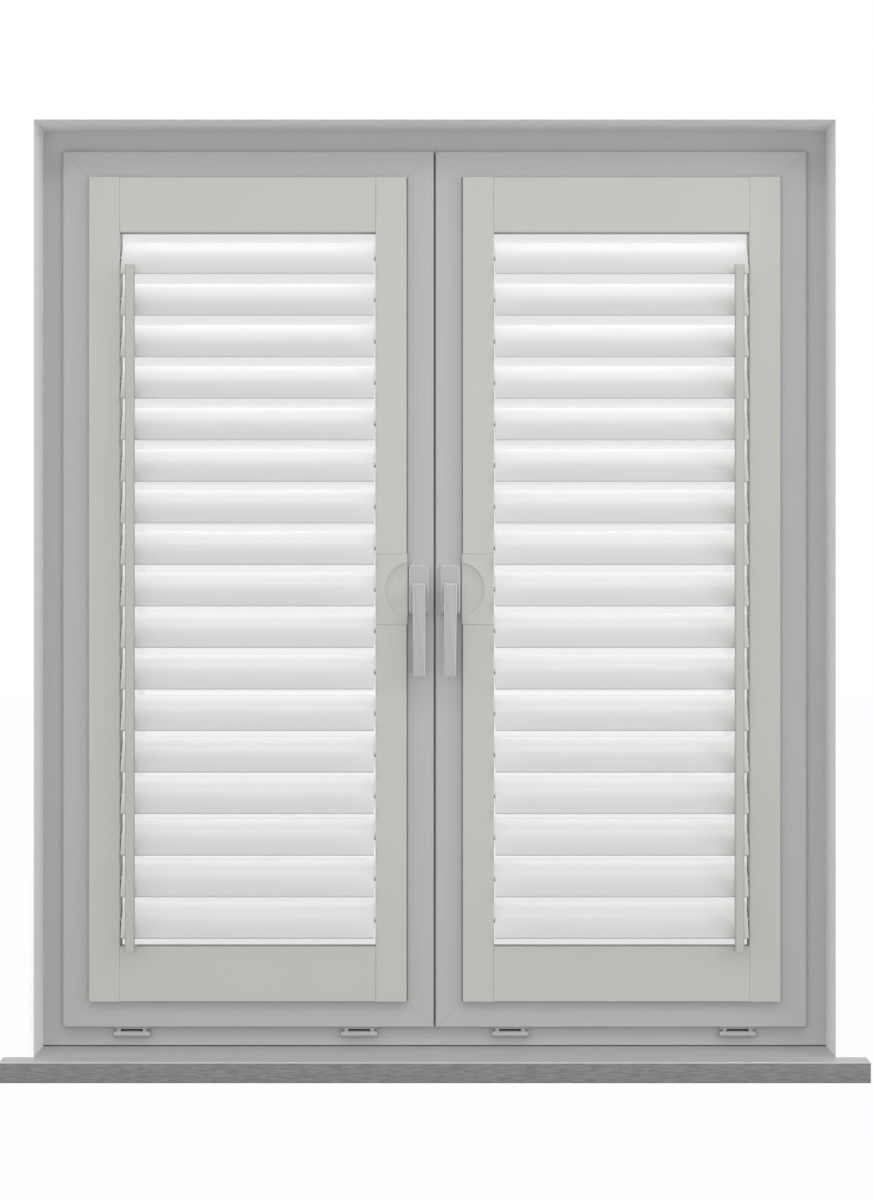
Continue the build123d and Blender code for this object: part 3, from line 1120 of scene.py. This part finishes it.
@dataclass
class SashHinges:
    """Barrel hinges under the sashes: sleeved barrels with domed ends, necks and leaves."""

    length: float = 51.0
    barrel_radius: float = 4.6
    barrel_sides: int = 40
    dome: float = 1.2
    groove: float = 0.8
    groove_depth: float = 0.6
    knuckle: float = 12.0
    neck_width: float = 6.0
    neck_spacing: float = 36.0
    neck_depth: float = 6.4
    neck_edge: float = 0.8
    leaf_inset: float = 3.0
    leaf_edge: float = 0.5
    upper_leaf: float = 2.6
    upper_edge: float = 0.4
    pad_depth: float = 4.0
    near_inset: float = 103.5
    far_inset: float = 95.0

    def build(self) -> None:
        """Makes one hinge and one dark pad that paints the shade in its slot, and copies each to
        the other three places.
        """
        low, high = span("sash_hinges")
        rail_low, rail_high = span("right_sash_rails")
        near = rail_low.x + self.near_inset * MM
        far = rail_high.x - self.far_inset * MM
        for piece in self._four("sash_hinge", self._hinge(near, low, high), far - near):
            piece.deliver(UNIT_BODY, HINGE_COAT.build(), "hinge_metal")
            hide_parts("sash_hinges")
        # Rubber packers behind the slots, near black so that they also paint the shade in each
        # slot.
        for piece in self._four("sash_hinge_shade_pad", self._shade_pad(near, low, high), far - near):
            piece.deliver(UNIT_BODY, SEAL_RUBBER.build())

    def _four(self, name: str, first: Workpiece, spacing: float) -> list[Workpiece]:
        """Copies a piece to the far end of its sash, and both of them to the left sash.

        Args:
            name: what the pieces are called, before their number.
            first: the piece at the right sash's near place.
            spacing: how far the far place is from it, in metres.

        Returns:
            The four pieces.
        """
        second = first.copy(f"{name}_2", Vector((spacing, 0, 0)))
        third = first.copy(f"{name}_3", Vector(), flip=True)
        fourth = second.copy(f"{name}_4", Vector(), flip=True)
        return [first, second, third, fourth]

    def _shade_pad(self, x: float, low: Vector, high: Vector) -> Workpiece:
        """Makes the dark rubber pad behind a hinge's slot, which also paints the slot's shade.

        Args:
            x: how far across its middle is.
            low: the hinges' lowest corner.
            high: their highest.

        Returns:
            The pad.
        """
        half = (self.neck_spacing + self.neck_width) / 2 * MM
        back = low.y + (self.barrel_radius * 2 + self.neck_edge) * MM
        pad = Workpiece.block(
            "sash_hinge_shade_pad_1",
            Vector((x - half, back - self.pad_depth * MM, low.z + self.barrel_radius * MM)),
            Vector((x + half, back, high.z - self.upper_leaf * MM)),
        )
        pad.bevel(self.neck_edge * MM, lambda middle, way: abs(way.y) > ALONG)
        return pad

    def _hinge(self, x: float, low: Vector, high: Vector) -> Workpiece:
        """Makes one hinge.

        Args:
            x: how far across its middle is.
            low: the hinges' lowest corner.
            high: their highest.

        Returns:
            The hinge.
        """
        radius, half = self.barrel_radius * MM, self.length / 2 * MM
        y, z = low.y + radius, low.z + radius
        barrel = self._barrel(x, y, z)
        leaf = Workpiece.block(
            "leaf",
            Vector((x - half + self.leaf_inset * MM, y, z - radius / 2)),
            Vector((x + half - self.leaf_inset * MM, high.y, z + radius / 2)),
        )
        leaf.bevel(self.leaf_edge * MM, lambda middle, way: abs(way.x) > ALONG)
        barrel.combine(leaf, "UNION")
        wide, deep = self.neck_width / 2 * MM, self.neck_depth / 2 * MM
        for place in (-1, 1):
            neck_x = x + place * self.neck_spacing / 2 * MM
            neck = Workpiece.block(
                "neck",
                Vector((neck_x - wide, y - deep, z)),
                Vector((neck_x + wide, y + deep, high.z)),
            )
            neck.bevel(self.neck_edge * MM, lambda middle, way: abs(way.z) > ALONG, flats=3)
            barrel.combine(neck, "UNION")
        upper = Workpiece.block(
            "upper",
            Vector((x - half, low.y + self.neck_edge * MM, high.z - self.upper_leaf * MM)),
            Vector((x + half, high.y, high.z)),
        )
        upper.bevel(self.upper_edge * MM, lambda middle, way: abs(way.z) > ALONG)
        barrel.combine(upper, "UNION")
        return barrel

    def _barrel(self, x: float, y: float, z: float) -> Workpiece:
        """Makes a hinge's barrel, domed at its ends and grooved beside each knuckle.

        Args:
            x: how far across its middle is.
            y: how deep its axis is.
            z: how high its axis is.

        Returns:
            The barrel.
        """
        radius, half, sides = self.barrel_radius * MM, self.length / 2 * MM, self.barrel_sides
        start, end = Vector((x - half, y, z)), Vector((x + half, y, z))
        barrel = Workpiece.bar("sash_hinge_1", start, end, radius, sides)
        barrel.bevel(self.dome * MM, lambda middle, way: abs(way.x) < ACROSS, flats=5)
        reach = Vector((self.groove * MM, 0, 0))
        for place in (-1, 1):
            cut = Vector((x + place * (half - self.knuckle * MM), y, z))
            ring = Workpiece.bar("ring", cut - reach / 2, cut + reach / 2, 2 * radius, sides)
            core = Workpiece.bar(
                "core", cut - reach, cut + reach, radius - self.groove_depth * MM, sides
            )
            ring.combine(core, "DIFFERENCE")
            barrel.combine(ring, "DIFFERENCE")
        return barrel


# The studio


@dataclass(frozen=True)
class Softbox:
    """A soft lamp: its place, target and size in metres, and its power in watts."""

    name: str
    place: tuple[float, float, float]
    target: tuple[float, float, float]
    size: tuple[float, float]
    power: float
    in_reflections: bool = True

    def hang(self) -> bpy.types.Object:
        """Adds the lamp, turned to its target and unseen by the camera.

        Returns:
            The lamp.
        """
        data = bpy.data.lights.new(self.name, "AREA")
        data.shape = "RECTANGLE"
        data.size, data.size_y = self.size
        data.energy = self.power
        lamp = bpy.data.objects.new(self.name, data)
        lamp.location = self.place
        way = Vector(self.target) - Vector(self.place)
        lamp.rotation_euler = way.to_track_quat("-Z", "Y").to_euler()
        lamp.visible_camera = False
        lamp.visible_glossy = self.in_reflections
        bpy.context.scene.collection.objects.link(lamp)
        return lamp


# The room's lamps. The right one is the stronger of the pair, as in the photograph.
ROOM_LAMPS = (
    Softbox("left_softbox", (-1.7, -1.5, 1.5), (0, 0, 0.7), (1.2, 1.2), 4),
    Softbox("right_softbox", (1.7, -1.5, 1.5), (0, 0, 0.7), (1.2, 1.2), 9),
    Softbox("front_softbox", (0, -4.6, 0.7), (0, 0, 0.65), (3.0, 1.6), 51, False),
    Softbox("low_softbox", (0, -2.2, 0.25), (0, 0, 0.5), (2.4, 0.4), 3),
    Softbox("high_softbox", (0, -3.0, 3.3), (0, 0, 0.7), (3.0, 1.0), 23),
)
# A steep lamp outside that only the louvres take, and a front lamp for everything else.
DAYLIGHT = Softbox("daylight", (0, 3.2, 6.0), (0, 0.1, 0.9), (10.0, 3.0), 900)
PANEL_LAMP = Softbox("panel_softbox", (0, -4.6, 0.7), (0, 0, 0.65), (3.0, 1.6), 29, False)


@dataclass
class Studio:
    """Plain pale floor, soft lamps, white surroundings and the camera."""

    eye: tuple[float, float, float] = (0.0, -4.535, 0.661)
    focal_pixels: float = 3242.0
    image_height: float = 1200.0
    sensor: float = 36.0
    shift: tuple[float, float] = (0.0015, -0.0083)
    white: str = "FFFFFF"
    world_light: float = 0.7
    floor_size: float = 30.0
    floor_colour: str = "B0B0B0"
    floor_whiteness: float = 0.98

    def build(self) -> None:
        """Sets up all that the object is seen with."""
        self._camera()
        self._world()
        self._floor()
        for lamp in ROOM_LAMPS:
            lamp.hang()
        self._louvre_light()
        bpy.context.scene.view_settings.view_transform = "Standard"

    def _camera(self) -> None:
        """Sets the camera straight on, as the photograph is taken."""
        data = bpy.data.cameras.new("camera")
        data.sensor_width = self.sensor
        data.lens = self.focal_pixels * self.sensor / self.image_height
        data.shift_x, data.shift_y = self.shift
        camera = bpy.data.objects.new("camera", data)
        camera.location = self.eye
        camera.rotation_euler = (math.pi / 2, 0, 0)
        bpy.context.scene.collection.objects.link(camera)
        bpy.context.scene.camera = camera

    def _world(self) -> None:
        """Makes even surroundings that light the window and look white."""
        world = bpy.data.worlds.new("studio")
        bpy.context.scene.world = world
        tree = new_tree(world)
        path = add_node(tree, "ShaderNodeLightPath")
        seen = path.outputs["Is Camera Ray"]
        for ray in ("Is Glossy Ray", "Is Transmission Ray"):
            either = add_node(
                tree, "ShaderNodeMath", {0: seen, 1: path.outputs[ray]}, operation="MAXIMUM"
            )
            seen = either.outputs[0]
        light, backdrop = (
            add_node(
                tree,
                "ShaderNodeBackground",
                {"Color": linear(self.white), "Strength": strength},
            ).outputs[0]
            for strength in (self.world_light, 1.0)
        )
        mixed = add_node(tree, "ShaderNodeMixShader", {0: seen, 1: light, 2: backdrop})
        add_node(tree, "ShaderNodeOutputWorld", {"Surface": mixed.outputs[0]})

    def _floor(self) -> None:
        """Makes a pale floor that the camera sees as nearly white."""
        clear_selection()
        bpy.ops.mesh.primitive_plane_add(size=self.floor_size)
        floor = bpy.context.object
        floor.name = floor.data.name = "floor"
        material = bpy.data.materials.new("pale floor")
        tree = new_tree(material)
        path = add_node(tree, "ShaderNodeLightPath")
        share = add_node(
            tree,
            "ShaderNodeMath",
            {0: path.outputs["Is Camera Ray"], 1: self.floor_whiteness},
            operation="MULTIPLY",
        )
        matt = add_node(tree, "ShaderNodeBsdfDiffuse", {"Color": linear(self.floor_colour)})
        glow = add_node(
            tree, "ShaderNodeEmission", {"Color": linear(self.white), "Strength": 1.0}
        )
        mixed = add_node(
            tree,
            "ShaderNodeMixShader",
            {0: share.outputs[0], 1: matt.outputs[0], 2: glow.outputs[0]},
        )
        add_node(tree, "ShaderNodeOutputMaterial", {"Surface": mixed.outputs[0]})
        floor.data.materials.append(material)

    def _louvre_light(self) -> None:
        """Lights the louvres as by day.

        The lamp outside is for the louvres alone and only they shade it, so that each one's upper
        side glows and fades towards its nose. The second front lamp leaves them out, so that their
        noses stay darker than the panels round them.
        """
        louvres = bpy.data.collections.new("louvres")
        others = bpy.data.collections.new("all_but_louvres")
        for name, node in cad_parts.items():
            if "_louvre_" in name:
                louvres.objects.link(node)
                others.objects.link(node)
        for item in others.collection_objects:
            item.light_linking.link_state = "EXCLUDE"
        sky = DAYLIGHT.hang()
        sky.light_linking.receiver_collection = louvres
        sky.light_linking.blocker_collection = louvres
        PANEL_LAMP.hang().light_linking.receiver_collection = others


def main() -> None:
    """Builds the window's looks in order, then the studio."""
    logging.basicConfig(level=logging.INFO, format="%(name)s: %(message)s")
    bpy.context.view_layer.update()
    Surround().build()
    for side in Side:
        Glazing(side).build()
        Sash(side).build()
        ShutterPanel(side).build()
        TurnHandle(side).build()
        FingerInsert(side).build()
    CornerWelds().build()
    SashHinges().build()
    Studio().build()


if __name__ == "__main__":
    main()
